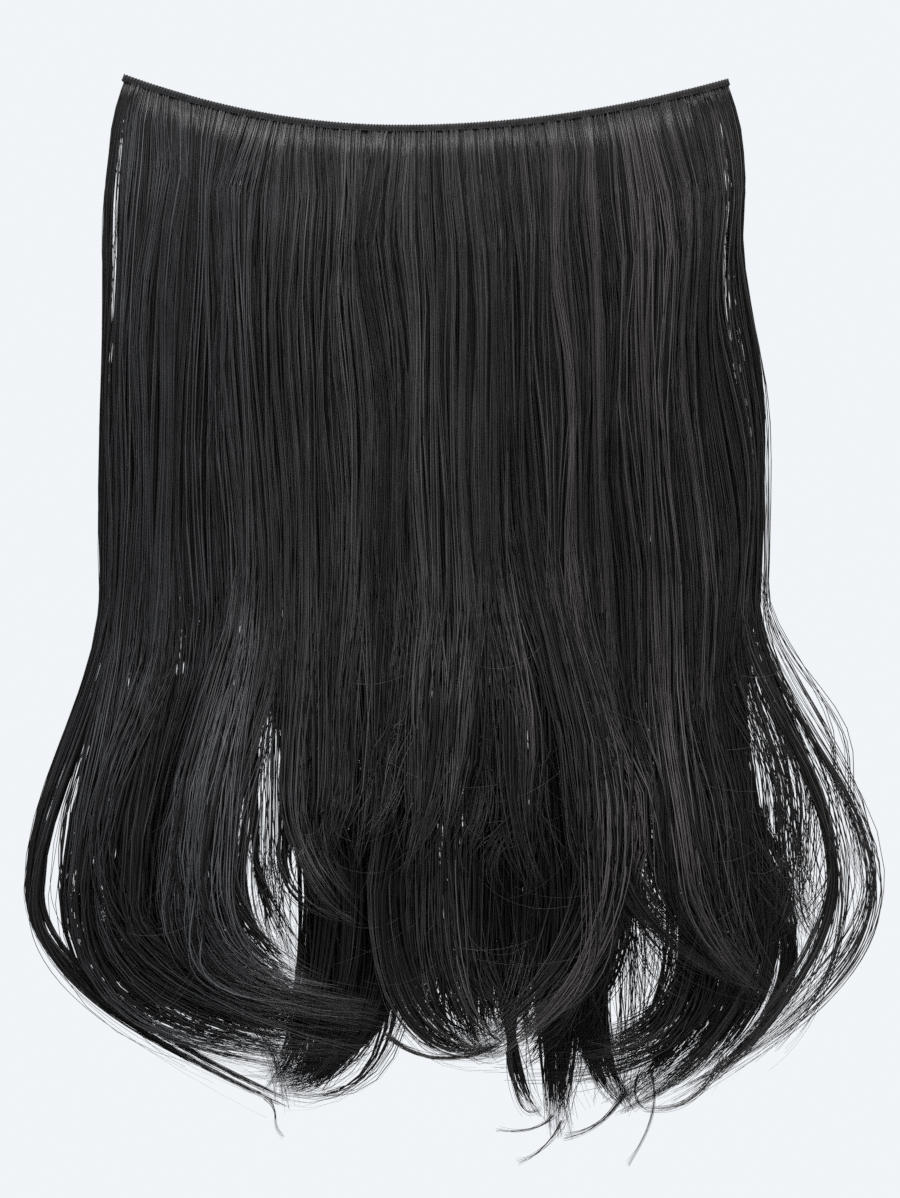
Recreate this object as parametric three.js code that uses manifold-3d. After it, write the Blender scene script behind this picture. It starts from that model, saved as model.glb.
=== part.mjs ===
// Hair extension: a wide curtain of dark hair sewn along a narrow weft. The hair falls straight from the
// weft and turns into large loose curls at its ends. Plain clips behind the weft hold the piece on a head.
// Millimetres, +Z up, the front faces -Y. The origin is the middle of the weft, where the piece is held.
import * as THREE from "three";
import { mergeVertices } from "three/addons/utils/BufferGeometryUtils.js";
import Module from "manifold-3d";

const wasm = await Module();
wasm.setup();

// Weft: a narrow stitched band that sags between its two raised ends.
const WEFT_CHORD = 280;
const WEFT_LOW_X = -12;
const WEFT_LEFT_RISE = 23.5;
const WEFT_RIGHT_RISE = 21.5;
const BAND_HEIGHT = 3.4;
const BAND_THICKNESS = 2.4;
const BAND_STEPS = 32;
const BAND_SIDE_POINTS = 4;
const SEAT_GAP = 0.3;

// Straight fall: a ribbed sheet. drop is the distance below the weft, left and right are its edges,
// front and back are its depths before and behind the middle plane.
const FALL_SECTIONS = [
  { drop: 0, left: -139, right: 139, front: 1.2, back: 1.1 },
  { drop: 8, left: -142, right: 142, front: 1.2, back: 1.3 },
  { drop: 20, left: -145, right: 145, front: 1.8, back: 1.5 },
  { drop: 50, left: -148, right: 149, front: 4.6, back: 4.6 },
  { drop: 110, left: -149, right: 152, front: 6.8, back: 6.5 },
  { drop: 170, left: -150, right: 155, front: 7.5, back: 7.5 },
  { drop: 220, left: -152, right: 159, front: 8.0, back: 8.0 },
  { drop: 262, left: -150, right: 152, front: 6.0, back: 6.0 },
  { drop: 300, left: -140, right: 140, front: 2.2, back: 2.2 },
];
const FALL_RIBS = 25;
const RIB_VALLEY = 0.68; // depth of a groove between two ribs, as a share of the rib's own depth
const RIB_UNEVENNESS = 0.16; // how much the ribs differ in depth
const RIB_SHIFT = 0.35; // how far a rib or groove may lie from its even place, as a share of the spacing
const LEVEL_DROP = 150; // by this distance below the weft its sag no longer shows
const EDGE_DEPTH = 0.5; // half depth of the sheet's two side edges
const EDGE_ROUNDNESS = 10; // the higher, the nearer to its side edges the sheet starts to thin
const RIBBED_FROM = 3; // the section from which the ribs have their full relief
const RAGGED_END = 9; // how much the ribs differ in length at the sheet's lower end

// Curled locks, a row for each. A lock leaves the straight fall at fallX and bendZ, swings out to its belly,
// then turns through its hook to its tip. hook is the share of that last drop made before it turns.
// width and thick are its size at the belly, and blunt is the share of it that is left at the tip.
// fallY, bellyY and tipY place it before (-) or behind (+) the middle plane.
const LOCK_COLUMNS = [
  "fallX", "bendZ", "bellyX", "bellyZ", "tipX", "tipZ", "hook", "width", "thick", "blunt",
  "fallY", "bellyY", "tipY",
];
const LOCK_ROWS = {
  left_outer: [-146, -210, -177, -351, -66, -449, 0.45, 12, 8, 0.3, 0, 0, -6],
  left_1: [-134, -212, -154, -347, -38, -424, 0.95, 23, 13, 0.4, 0, -10, -8],
  left_2: [-116, -206, -140, -348, -30, -414, 0.8, 26, 15, 0.4, 0, -18, -9],
  left_3: [-101, -214, -126, -350, -26, -411, 0.85, 27, 15, 0.4, -2, 4, -7],
  left_4: [-80, -210, -103, -346, -34, -403, 0.85, 26, 15, 0.35, -3, -28, -10],
  left_5: [-66, -232, -90, -344, -50, -397, 0.75, 18, 10, 0.3, -3, -16, -4],
  left_behind: [-124, -225, -138, -360, -24, -420, 0.85, 26, 13, 0.4, 3, 20, 8],
  left_under: [-102, -222, -110, -358, -16, -416, 0.85, 36, 13, 0.4, 3, 20, 8],
  front_flip: [-58, -205, -66, -314, -34, -364, 0.5, 20, 9, 0.25, -3, -14, -20],
  front_1: [-45, -200, -52, -304, -38, -356, 0.5, 20, 12, 0.25, -3, -11, -14],
  front_2: [-28, -192, -36, -292, -48, -344, 0.5, 22, 13, 0.25, -3, -11, -16],
  front_3: [-10, -186, -18, -280, -32, -330, 0.5, 20, 12, 0.25, -3, -12, -16],
  front_4: [8, -200, 2, -292, -10, -348, 0.5, 22, 13, 0.25, -3, -11, -16],
  front_5: [24, -190, 20, -284, 12, -334, 0.5, 22, 12, 0.25, -3, -12, -16],
  front_6: [38, -196, 44, -300, 52, -354, 0.5, 22, 13, 0.25, -3, -11, -16],
  front_7: [50, -192, 72, -312, 102, -374, 0.5, 22, 13, 0.25, -3, -12, -10],
  front_8: [68, -206, 94, -338, 144, -396, 0.45, 20, 12, 0.2, -3, -13, -12],
  right_1: [88, -240, 105, -336, 158, -402, 0.5, 24, 12, 0.2, -3, -10, 0],
  right_2: [107, -245, 116, -334, 156, -399, 0.55, 20, 12, 0.2, -3, -20, -6],
  right_3: [124, -245, 137, -330, 166, -408, 0.6, 26, 13, 0.25, 0, -4, 6],
  right_4: [138, -240, 150, -314, 182, -372, 0.35, 18, 10, 0.3, 3, 4, 8],
  right_5: [146, -214, 187, -340, 128, -440, 0.5, 9, 9, 0.35, 0, 2, -6],
  right_6: [128, -262, 170, -374, 124, -442, 0.5, 15, 10, 0.3, 3, 16, 6],
  right_knot: [130, -258, 152, -368, 104, -446, 0.5, 14, 11, 0.3, 3, 10, 4],
  right_outer: [151, -208, 205, -350, 106, -450, 0.55, 12, 8, 0.35, 0, 6, 2],
  back_1: [-62, -255, -50, -372, -65, -444, 0.9, 22, 13, 0.15, 3, 8, -2],
  back_2: [-46, -255, -38, -366, -64, -441, 1, 28, 15, 0.15, 3, 16, 0],
  back_3: [-30, -255, -26, -368, -62, -438, 1, 30, 15, 0.2, 3, 22, 0],
  back_4: [-14, -255, -15, -372, -62, -441, 0.95, 25, 14, 0.2, 3, 12, 0],
  centre_1: [-2, -250, -15, -354, 34, -423, 1.1, 14, 10, 0.35, 3, 0, -8],
  centre_2: [13, -255, 5, -360, 35, -420, 1, 26, 12, 0.35, 3, -6, 2],
  centre_3: [32, -255, 30, -358, 32, -414, 1.4, 38, 15, 0.5, 3, 20, 2],
  centre_4: [58, -255, 60, -358, 36, -418, 0.95, 32, 15, 0.4, 3, 4, 2],
  centre_5: [74, -245, 86, -350, 36, -420, 0.75, 22, 13, 0.35, 3, -14, -10],
  tail: [56, -262, 58, -407, 63, -466, 0.5, 20, 12, 0.3, 3, 18, 6],
  funnel: [74, -262, 74, -384, 89, -452, 0.6, 24, 12, 0.12, 3, 18, 8],
  point: [92, -262, 93, -380, 89, -453, 0.5, 30, 13, 0.1, 3, 18, 10],
  cup: [114, -258, 134, -358, 72, -424, 1.05, 24, 12, 0.4, 3, 6, 6],
  sweep: [125, -262, 138, -368, 89, -453, 0.5, 25, 13, 0.12, 3, 14, 4],
};
const LOCKS = Object.values(LOCK_ROWS).map((row) =>
  Object.fromEntries(row.map((value, column) => [LOCK_COLUMNS[column], value])),
);
const LOCK_LEAD = 34; // length of a lock's head, which is sunk in the straight fall
const LOCK_STEPS = { head: 1, swing: 3, curl: 5 };
const LOCK_SIDE_POINTS = 3;
const LOCK_HEAD_SHARE = 0.35; // a lock's size at its head, as a share of its size at the belly
const LOCK_TAPER = 3.2; // how late along the curl a lock thins out

// Clips: plain slotted plates behind the weft.
const CLIP_COUNT = 5;
const CLIP_SPACING = 58;
const CLIP_WIDTH = 30;
const CLIP_HEIGHT = 11;
const CLIP_CORNER = 4;
const CLIP_THICKNESS = 1.4;
const CLIP_SLOT_LENGTH = 20;
const CLIP_SLOT_HEIGHT = 2.6;
const CLIP_SLOT_CORNER = 1.2;
const CLIP_SLOT_OFFSET = -1.2; // the slot lies a little below the plate's middle
const CLIP_DROP = 3.6; // the plate's middle lies this far below the weft's
const CLIP_FRONT_Y = 1.9;
const CLIP_ARC_SEGMENTS = 2;

const hairMaterial = new THREE.MeshStandardMaterial({ color: 0x1c1b1c, roughness: 0.42, metalness: 0 });
const threadMaterial = new THREE.MeshStandardMaterial({ color: 0x171617, roughness: 0.7, metalness: 0 });
const clipMaterial = new THREE.MeshStandardMaterial({ color: 0x18181a, roughness: 0.35, metalness: 0.6 });

const smooth = (t) => t * t * (3 - 2 * t);
const mix = THREE.MathUtils.lerp;

// Height of the weft's rise above its lowest point: a parabola on each side.
function weftRise(x) {
  const half = WEFT_CHORD / 2;
  const left = x < WEFT_LOW_X;
  const run = left ? half + WEFT_LOW_X : half - WEFT_LOW_X;
  const rise = left ? WEFT_LEFT_RISE : WEFT_RIGHT_RISE;
  return rise * ((x - WEFT_LOW_X) / run) ** 2;
}

const weftZ = (x) => weftRise(x) - weftRise(0);
const weftSlope = (x) => weftZ(x + 0.5) - weftZ(x - 0.5);

// Height of the hair's top edge, which hangs just clear of the band's sloping underside.
const rootZ = (x) => weftZ(x) - (BAND_HEIGHT / 2 + SEAT_GAP) * Math.hypot(1, weftSlope(x));

// A repeatable unevenness between -1 and 1 for the rib or lock of this number.
const uneven = (number) => Math.sin(number * 12.9898 + Math.sin(number * 4.1414) * 2.3);

// Closed solid through a row of rings. Each ring runs along its front and returns along its back, so that
// each point of the front faces one of the back, and the two end caps are strips between them.
function loftSolid(rings) {
  const count = rings[0].length;
  const indices = [];
  const quad = (a, b, c, d) => indices.push(a, b, c, a, c, d);
  for (let r = 0; r + 1 < rings.length; r++) {
    for (let i = 0; i < count; i++) {
      const next = (i + 1) % count;
      quad(r * count + i, (r + 1) * count + i, (r + 1) * count + next, r * count + next);
    }
  }
  const last = (rings.length - 1) * count;
  for (let i = 0; i + 1 < count / 2; i++) {
    const facing = count - 1 - i;
    quad(i, i + 1, facing - 1, facing);
    quad(last + facing, last + facing - 1, last + i + 1, last + i);
  }
  const geometry = new THREE.BufferGeometry().setFromPoints(rings.flat());
  geometry.setIndex(indices);
  return geometry;
}

// A flattened ring round a centre: an ellipse's front half, then its back half the other way.
function ellipseRing(centre, side, normal, halfWidth, halfThick, sidePoints) {
  const ring = [];
  for (let i = 0; i < 2 * sidePoints; i++) {
    const angle = Math.PI - (Math.PI * (i + 0.5)) / sidePoints;
    const point = centre.clone();
    point.addScaledVector(side, halfWidth * Math.cos(angle));
    point.addScaledVector(normal, halfThick * Math.sin(angle));
    ring.push(point);
  }
  return ring;
}

// The weft band: an ellipse-like section carried along the sagging line, upright at every step.
function bandGeometry() {
  const rings = [];
  const depth = new THREE.Vector3(0, 1, 0);
  for (let step = 0; step <= BAND_STEPS; step++) {
    const x = WEFT_CHORD * (step / BAND_STEPS - 0.5);
    const slope = new THREE.Vector3(1, 0, weftSlope(x)).normalize();
    const down = new THREE.Vector3().crossVectors(depth, slope);
    const centre = new THREE.Vector3(x, 0, weftZ(x));
    rings.push(ellipseRing(centre, down, depth, BAND_HEIGHT / 2, BAND_THICKNESS / 2, BAND_SIDE_POINTS));
  }
  return loftSolid(rings);
}

// Depth of the sheet across its width: ribs with grooves between them, thinning to its two side edges.
function ribDepth(column, columns, depth, ribbing) {
  const across = (2 * column) / columns - 1;
  const edge = Math.sqrt(1 - Math.abs(across) ** EDGE_ROUNDNESS);
  const rib = column % 2 ? 1 + RIB_UNEVENNESS * uneven(column) : mix(1, RIB_VALLEY, ribbing);
  return Math.max(EDGE_DEPTH, depth * edge * rib);
}

// The straight fall: a ring for each section, whose top follows the weft and whose lower end is ragged.
function fallGeometry() {
  const columns = 2 * FALL_RIBS;
  const rings = FALL_SECTIONS.map((section, row) => {
    const sagShare = Math.max(0, 1 - section.drop / LEVEL_DROP);
    const endShare = row === FALL_SECTIONS.length - 1 ? 1 : 0;
    const ribbing = Math.min(1, row / RIBBED_FROM);
    const front = [];
    const back = [];
    for (let column = 0; column <= columns; column++) {
      const inside = column > 0 && column < columns;
      const across = (column + (inside ? RIB_SHIFT * uneven(3 * column) : 0)) / columns;
      const x = mix(section.left, section.right, across);
      const rootX = mix(FALL_SECTIONS[0].left, FALL_SECTIONS[0].right, across);
      const ragged = endShare * RAGGED_END * uneven(column + FALL_RIBS);
      const z = mix(rootZ(WEFT_LOW_X), rootZ(rootX), sagShare) - section.drop + ragged;
      front.push(new THREE.Vector3(x, -ribDepth(column, columns, section.front, ribbing), z));
      back.unshift(new THREE.Vector3(x, ribDepth(columns - column, columns, section.back, ribbing), z));
    }
    return [...front, ...back];
  });
  return loftSolid(rings);
}

// Centre line of a lock: straight down to the bend, an eased swing to the belly, then a quadratic curve whose
// middle handle hangs straight below the belly.
function lockPath(lock) {
  const points = [];
  for (let i = 0; i < LOCK_STEPS.head; i++) {
    const rise = LOCK_LEAD * (1 - i / LOCK_STEPS.head);
    points.push(new THREE.Vector3(lock.fallX, lock.fallY, lock.bendZ + rise));
  }
  for (let i = 0; i < LOCK_STEPS.swing; i++) {
    const t = i / LOCK_STEPS.swing;
    const x = mix(lock.fallX, lock.bellyX, smooth(t));
    const y = mix(lock.fallY, lock.bellyY, smooth(t));
    points.push(new THREE.Vector3(x, y, mix(lock.bendZ, lock.bellyZ, t)));
  }
  const handleZ = mix(lock.bellyZ, lock.tipZ, lock.hook);
  for (let i = 0; i <= LOCK_STEPS.curl; i++) {
    const t = i / LOCK_STEPS.curl;
    const x = mix(lock.bellyX, lock.tipX, t * t);
    const y = mix(lock.bellyY, lock.tipY, smooth(t));
    const z = (1 - t) ** 2 * lock.bellyZ + 2 * t * (1 - t) * handleZ + t * t * lock.tipZ;
    points.push(new THREE.Vector3(x, y, z));
  }
  return points;
}

// Size of a lock along its centre line, as a share of its size at the belly.
function lockShare(lock, step) {
  const belly = LOCK_STEPS.head + LOCK_STEPS.swing;
  if (step < belly) return mix(LOCK_HEAD_SHARE, 1, smooth(step / belly));
  return mix(1, lock.blunt, ((step - belly) / LOCK_STEPS.curl) ** LOCK_TAPER);
}

// A curled lock: a flattened section carried along its centre line, flat towards the front.
function lockGeometry(lock) {
  const path = lockPath(lock);
  const depth = new THREE.Vector3(0, 1, 0);
  const rings = path.map((centre, step) => {
    const before = path[Math.max(0, step - 1)];
    const after = path[Math.min(path.length - 1, step + 1)];
    const along = new THREE.Vector3().subVectors(after, before).normalize();
    const side = new THREE.Vector3().crossVectors(depth, along).normalize();
    const normal = new THREE.Vector3().crossVectors(along, side);
    const halfWidth = (lock.width / 2) * lockShare(lock, step);
    const halfThick = (lock.thick / 2) * lockShare(lock, step);
    return ellipseRing(centre, side, normal, halfWidth, halfThick, LOCK_SIDE_POINTS);
  });
  return loftSolid(rings);
}

// A closed geometry as a solid that can be joined to others.
function toSolid(geometry) {
  const merged = mergeVertices(geometry);
  return new wasm.Manifold(
    new wasm.Mesh({
      numProp: 3,
      vertProperties: new Float32Array(merged.attributes.position.array),
      triVerts: new Uint32Array(merged.index.array),
    }),
  );
}

function toGeometry(solid) {
  const mesh = solid.getMesh();
  const geometry = new THREE.BufferGeometry();
  geometry.setAttribute("position", new THREE.BufferAttribute(mesh.vertProperties, mesh.numProp));
  geometry.setIndex(new THREE.BufferAttribute(mesh.triVerts, 1));
  return geometry;
}

// All the hair: the straight fall with every curled lock fused to it.
function hairGeometry() {
  let solid = toSolid(fallGeometry());
  for (const lock of LOCKS) {
    solid = solid.add(toSolid(lockGeometry(lock)));
  }
  return toGeometry(solid);
}

// A rectangle with round corners, centred on x = 0 and y = middle.
function roundedOutline(path, width, height, corner, middle) {
  const x = width / 2 - corner;
  const y = height / 2 - corner;
  path.absarc(x, middle - y, corner, -Math.PI / 2, 0);
  path.absarc(x, middle + y, corner, 0, Math.PI / 2);
  path.absarc(-x, middle + y, corner, Math.PI / 2, Math.PI);
  path.absarc(-x, middle - y, corner, Math.PI, 1.5 * Math.PI);
  path.closePath();
  return path;
}

// A clip: a slotted plate with round corners, standing upright with its front face at y = 0.
function clipGeometry() {
  const outline = roundedOutline(new THREE.Shape(), CLIP_WIDTH, CLIP_HEIGHT, CLIP_CORNER, 0);
  outline.holes.push(
    roundedOutline(new THREE.Path(), CLIP_SLOT_LENGTH, CLIP_SLOT_HEIGHT, CLIP_SLOT_CORNER, CLIP_SLOT_OFFSET),
  );
  const plate = new THREE.ExtrudeGeometry(outline, {
    depth: CLIP_THICKNESS,
    bevelEnabled: false,
    curveSegments: CLIP_ARC_SEGMENTS,
  });
  plate.translate(0, 0, -CLIP_THICKNESS);
  plate.rotateX(Math.PI / 2);
  return plate;
}

function addMesh(parent, name, geometry, material) {
  const mesh = new THREE.Mesh(geometry, material);
  mesh.name = name;
  parent.add(mesh);
  return mesh;
}

const extension = new THREE.Group();
addMesh(extension, "weft_band", bandGeometry(), threadMaterial);
addMesh(extension, "hair", hairGeometry(), hairMaterial);
for (let i = 0; i < CLIP_COUNT; i++) {
  const x = CLIP_SPACING * (i - (CLIP_COUNT - 1) / 2);
  const clip = addMesh(extension, `clip_${i + 1}`, clipGeometry(), clipMaterial);
  clip.position.set(x, CLIP_FRONT_Y, weftZ(x) - CLIP_DROP);
  clip.rotation.y = -Math.atan(weftSlope(x));
}

export default extension;
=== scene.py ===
"""Hair extension: a wide curtain of dark hair on a stitched weft, with large loose curls at its ends.

Metres, +Z up, the front faces -Y, and the origin is the middle of the weft. Every hair is a thin closed
tube that leaves the weft, runs down the straight fall and ends in one of the curled locks.
"""

import bpy
import numpy as np
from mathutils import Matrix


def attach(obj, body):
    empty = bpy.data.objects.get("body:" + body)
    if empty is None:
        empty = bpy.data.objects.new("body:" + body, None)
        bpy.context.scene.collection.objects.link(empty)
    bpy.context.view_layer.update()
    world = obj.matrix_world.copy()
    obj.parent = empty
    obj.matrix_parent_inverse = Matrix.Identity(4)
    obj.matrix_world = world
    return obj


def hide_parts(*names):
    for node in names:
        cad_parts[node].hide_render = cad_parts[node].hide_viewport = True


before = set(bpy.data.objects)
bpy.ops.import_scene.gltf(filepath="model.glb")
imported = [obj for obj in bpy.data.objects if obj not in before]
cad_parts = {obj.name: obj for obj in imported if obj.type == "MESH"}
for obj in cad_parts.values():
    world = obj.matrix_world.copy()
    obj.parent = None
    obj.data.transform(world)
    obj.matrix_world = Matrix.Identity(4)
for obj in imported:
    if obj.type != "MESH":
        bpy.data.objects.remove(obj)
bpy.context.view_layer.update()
MM = 0.001
Y_AXIS = np.array([0.0, 1.0, 0.0])
SEED = 57  # of every random draw
RNG = np.random.default_rng(SEED)

# Weft: the sagging band and the threads sewn over it.
WEFT_CHORD = 280 * MM
WEFT_LOW_X = -12 * MM
WEFT_LEFT_RISE = 23.5 * MM
WEFT_RIGHT_RISE = 21.5 * MM
BAND_HEIGHT = 3.4 * MM
BAND_THICKNESS = 2.4 * MM
STITCH_PITCH = 1.4 * MM
STITCH_RADIUS = 0.27 * MM
STITCH_POINTS = 12  # points of one turn of the over-edge thread
CHAIN_PITCH = 2.8 * MM
CHAIN_SWING = 0.28 * MM
CHAIN_LOW = -1.15 * MM  # height of the straight seam on the band, from its middle
CHAIN_POINTS = 6  # points of one link of the straight seam
THREAD_SIDES = 5
STITCH_PROUD = 0.3 * STITCH_RADIUS  # how far the middle of the over-edge thread stands off the band
CHAIN_DEPTH = 0.9 * BAND_THICKNESS / 2  # how far the straight seams lie from the middle of the band
CHAIN_RELIEF = 0.4 * STITCH_RADIUS
SLOPE_STEP = 0.5 * MM  # the weft's slope is taken over this length to either side

# Straight fall, in millimetres: edges and half depths at each distance below the weft.
FALL_COLUMNS = ("drop", "left", "right", "front", "back")
FALL_ROWS = (
    (0, -139, 139, 1.2, 1.1),
    (8, -142, 142, 1.1, 1.3),
    (20, -145, 145, 1.6, 1.5),
    (50, -148, 149, 4.6, 4.6),
    (110, -149, 152, 6.8, 6.5),
    (170, -150, 155, 7.5, 7.5),
    (220, -152, 159, 8.0, 8.0),
    (300, -152, 159, 8.0, 8.0),
)
FALL = {name: MM * values for name, values in zip(FALL_COLUMNS, np.array(FALL_ROWS, float).T)}

# Curled locks, in millimetres, a piece for each group and a row for each lock. A lock leaves the fall
# at fall_x and bend_z, swings out to its belly, then turns through its hook to its tip. hook is the
# share of the last drop made before it turns, and blunt the share of its size left at the tip. y places
# it before (-) or behind (+). fill is how thickly its hairs stand beside a plain lock's, and ragged the
# share of the curl that its shortest hairs lack. shade is painted light in its hairs' tone: below 1 a
# painted shade, darkest on the locks at the back, and above 1 a painted highlight.
LOCK_COLUMNS = (
    "fall_x", "bend_z", "belly_x", "belly_z", "tip_x", "tip_z", "hook",
    "width", "thick", "blunt", "fall_y", "belly_y", "tip_y", "fill", "shade", "ragged",
)
SHARE_COLUMNS = ("hook", "blunt", "fill", "shade", "ragged")
LOCK_GROUPS = {
    "hair_left_rim": {
        "outer": (-147, -210, -181, -350, -64, -450, 0.45, 7, 7, 0.2, 0, 0, -6, 2.6, 0.6, 0.1),
        "inner": (-143, -214, -178, -354, -70, -448, 0.46, 5, 6, 0.2, 0, -2, -5, 1.6, 0.6, 0.1),
    },
    "hair_left_edge": {
        "second": (-134, -212, -154, -347, -40, -424, 0.95, 23, 13, 0.4, 0, -10, -8, 1.2, 0.65, 0.15),
        "third": (-116, -206, -140, -348, -32, -414, 0.8, 26, 15, 0.4, 0, -18, -9, 1.2, 0.85, 0.4),
        "behind": (-124, -225, -138, -360, -30, -420, 0.85, 26, 13, 0.4, 3, 20, 8, 1.2, 0.4, 0.1),
    },
    "hair_left_inner": {
        "fourth": (-101, -214, -126, -350, -26, -411, 0.85, 27, 15, 0.4, -2, 4, -7, 1.2, 0.6, 0.2),
        "fifth": (-80, -210, -103, -346, -34, -403, 0.85, 26, 15, 0.35, -3, -28, -10, 1.2, 2.3, 0.5),
        "sixth": (-67, -232, -92, -344, -50, -397, 0.75, 20, 10, 0.3, -3, -16, -4, 1.1, 1.6, 0.3),
        "under": (-100, -222, -107, -358, -26, -416, 0.85, 36, 13, 0.4, 3, 20, 8, 0.95, 0.35, 0.1),
        "crossing": (-74, -241, -78, -332, -57, -386, 0.35, 5, 5, 0.4, 0, -4, -4, 1, 0.3, 0.3),
    },
    "hair_front": {
        "flip": (-58, -205, -66, -314, -34, -364, 0.5, 20, 9, 0.25, -3, -14, -20, 0.9, 1.1, 0.6),
        "first": (-45, -200, -52, -304, -38, -356, 0.5, 20, 12, 0.25, -3, -11, -14, 1, 0.9, 0.9),
        "second": (-28, -192, -36, -292, -48, -344, 0.5, 22, 13, 0.25, -3, -11, -16, 1, 1, 0.95),
        "third": (-10, -186, -18, -280, -32, -330, 0.5, 20, 12, 0.25, -3, -12, -16, 1, 1.1, 0.95),
        "fourth": (8, -200, 2, -292, -10, -348, 0.5, 22, 13, 0.25, -3, -11, -16, 1, 0.95, 0.95),
    },
    "hair_front_right": {
        "fifth": (24, -190, 20, -284, 12, -334, 0.5, 22, 12, 0.25, -3, -12, -16, 1, 1, 0.95),
        "sixth": (38, -196, 44, -300, 52, -354, 0.5, 22, 13, 0.25, -3, -11, -16, 1, 0.95, 0.95),
        "seventh": (50, -192, 72, -312, 102, -374, 0.5, 22, 13, 0.25, -3, -12, -10, 1, 1, 0.7),
        "eighth": (68, -206, 94, -338, 144, -396, 0.45, 20, 12, 0.2, -3, -13, -12, 1, 1, 0.5),
    },
    "hair_right": {
        "first": (88, -240, 105, -336, 158, -402, 0.5, 24, 12, 0.2, -3, -10, 0, 0.95, 1, 0.6),
        "second": (107, -245, 116, -334, 156, -399, 0.55, 20, 12, 0.2, -3, -20, -6, 1, 1.4, 0.55),
        "third": (124, -245, 137, -330, 166, -408, 0.6, 26, 13, 0.25, 0, -4, 6, 0.75, 0.9, 0.5),
        "fourth": (138, -240, 150, -314, 182, -372, 0.35, 18, 10, 0.3, 3, 4, 8, 0.6, 0.5, 0.3),
        "sixth": (128, -262, 170, -374, 124, -442, 0.5, 15, 10, 0.3, 3, 16, 6, 1.1, 0.4, 0.15),
        "knot": (130, -258, 154, -368, 104, -446, 0.5, 18, 11, 0.3, 3, 10, 4, 1.1, 0.45, 0.2),
    },
    "hair_right_edge": {
        "fifth": (145, -214, 186, -340, 128, -440, 0.5, 8, 9, 0.35, 0, 2, -6, 1.2, 0.5, 0.15),
        "outer": (151, -208, 206, -350, 106, -450, 0.55, 14, 8, 0.35, 0, 6, 2, 0.49, 0.6, 0.3),
    },
    "hair_back": {
        "edge": (-57, -255, -45.5, -362, -68, -443, 0.8, 20, 13, 0.2, 3, 8, -2, 1.1, 0.25, 0.15),
        "first": (-46, -255, -37, -366, -67, -441, 1, 31, 15, 0.15, 3, 16, 0, 0.9, 0.25, 0.1),
        "second": (-30, -255, -26, -368, -62, -438, 1, 30, 15, 0.2, 3, 22, 0, 0.8, 0.3, 0.1),
        "third": (-14, -255, -15, -372, -62, -441, 0.95, 25, 14, 0.2, 3, 12, 0, 1, 0.3, 0.08),
        "inner": (-8, -255, -4, -350, -14, -410, 1.1, 28, 14, 0.35, 3, 22, 4, 1.15, 0.25, 0.2),
    },
    "hair_centre": {
        "first": (-2, -250, -15, -354, 34, -423, 1.1, 14, 10, 0.35, 3, 0, -8, 1.7, 0.8, 0.12),
        "second": (13, -255, 5, -360, 35, -420, 1, 26, 12, 0.35, 3, -6, 2, 1.35, 0.9, 0.2),
        "third": (32, -255, 32, -358, 32, -412, 1.05, 40, 15, 0.3, 3, 20, 2, 1.25, 0.25, 0.2),
        "fourth": (58, -255, 58, -358, 36, -418, 0.95, 34, 15, 0.4, 3, 4, 2, 1, 0.5, 0.2),
        "fifth": (74, -245, 86, -350, 36, -420, 0.75, 22, 13, 0.35, 3, -14, -10, 1.2, 2.2, 0.25),
    },
    "hair_low": {
        "tail_left": (46, -262, 38, -416, 50, -456, 0.6, 9, 8, 0.4, 3, 14, 2, 1, 0.4, 0.3),
        "tail_right": (56, -262, 60, -407, 64, -466, 0.5, 18, 12, 0.25, 3, 18, 6, 1.3, 0.4, 0.3),
        "floor": (68, -258, 74, -366, 52, -424, 1.05, 32, 13, 0.35, 3, 14, 8, 1, 0.35, 0.2),
        "funnel": (74, -262, 74, -384, 90, -452, 0.6, 24, 12, 0.12, 3, 18, 8, 1.2, 0.35, 0.06),
        "point": (92, -262, 93, -380, 89, -453, 0.5, 30, 13, 0.1, 3, 18, 10, 0.25, 0.35, 0.1),
        "cup": (114, -258, 130, -358, 72, -429, 1.05, 32, 12, 0.45, 3, 6, 6, 1.25, 0.45, 0.15),
        "sweep": (125, -262, 138, -368, 89, -453, 0.5, 25, 13, 0.12, 3, 14, 4, 1, 0.45, 0.1),
    },
    "hair_veils": {
        "left_gap": (-146, -236, -165, -345, -120, -415, 0.7, 14, 8, 0.5, 0, -2, 0, 0.4, 0.6, 0.4),
        "inner_gap": (-66, -240, -72, -335, -58, -392, 0.6, 16, 8, 0.6, 0, 0, 0, 0.42, 0.6, 0.3),
        "low_left_gap": (-125, -240, -140, -350, -64, -438, 0.8, 16, 8, 0.8, 0, 4, 0, 0.15, 0.5, 0.3),
        "centre_gap": (84, -250, 96, -352, 104, -410, 0.8, 20, 8, 0.8, 0, 4, 0, 0.25, 0.5, 0.3),
        "right_fan": (145, -216, 172, -322, 180, -374, 0.5, 34, 8, 0.3, 0, 2, 0, 0.42, 0.6, 0.2),
        "inner_fan": (142, -216, 159, -312, 172, -370, 0.5, 20, 8, 0.3, 0, 2, 0, 0.4, 0.6, 0.2),
        "right_gap": (149, -215, 196, -345, 150, -430, 0.6, 14, 8, 0.5, 0, 4, 0, 0.25, 0.6, 0.3),
        "right_rim": (157, -214, 191, -292, 204, -357, 0.5, 9, 5, 0.6, 0, 4, 4, 0.2, 0.6, 0.2),
    },
}
# These groups have twice the steps along each hair.
FINE_GROUPS = ("hair_left_rim", "hair_right_edge", "hair_veils")

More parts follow.
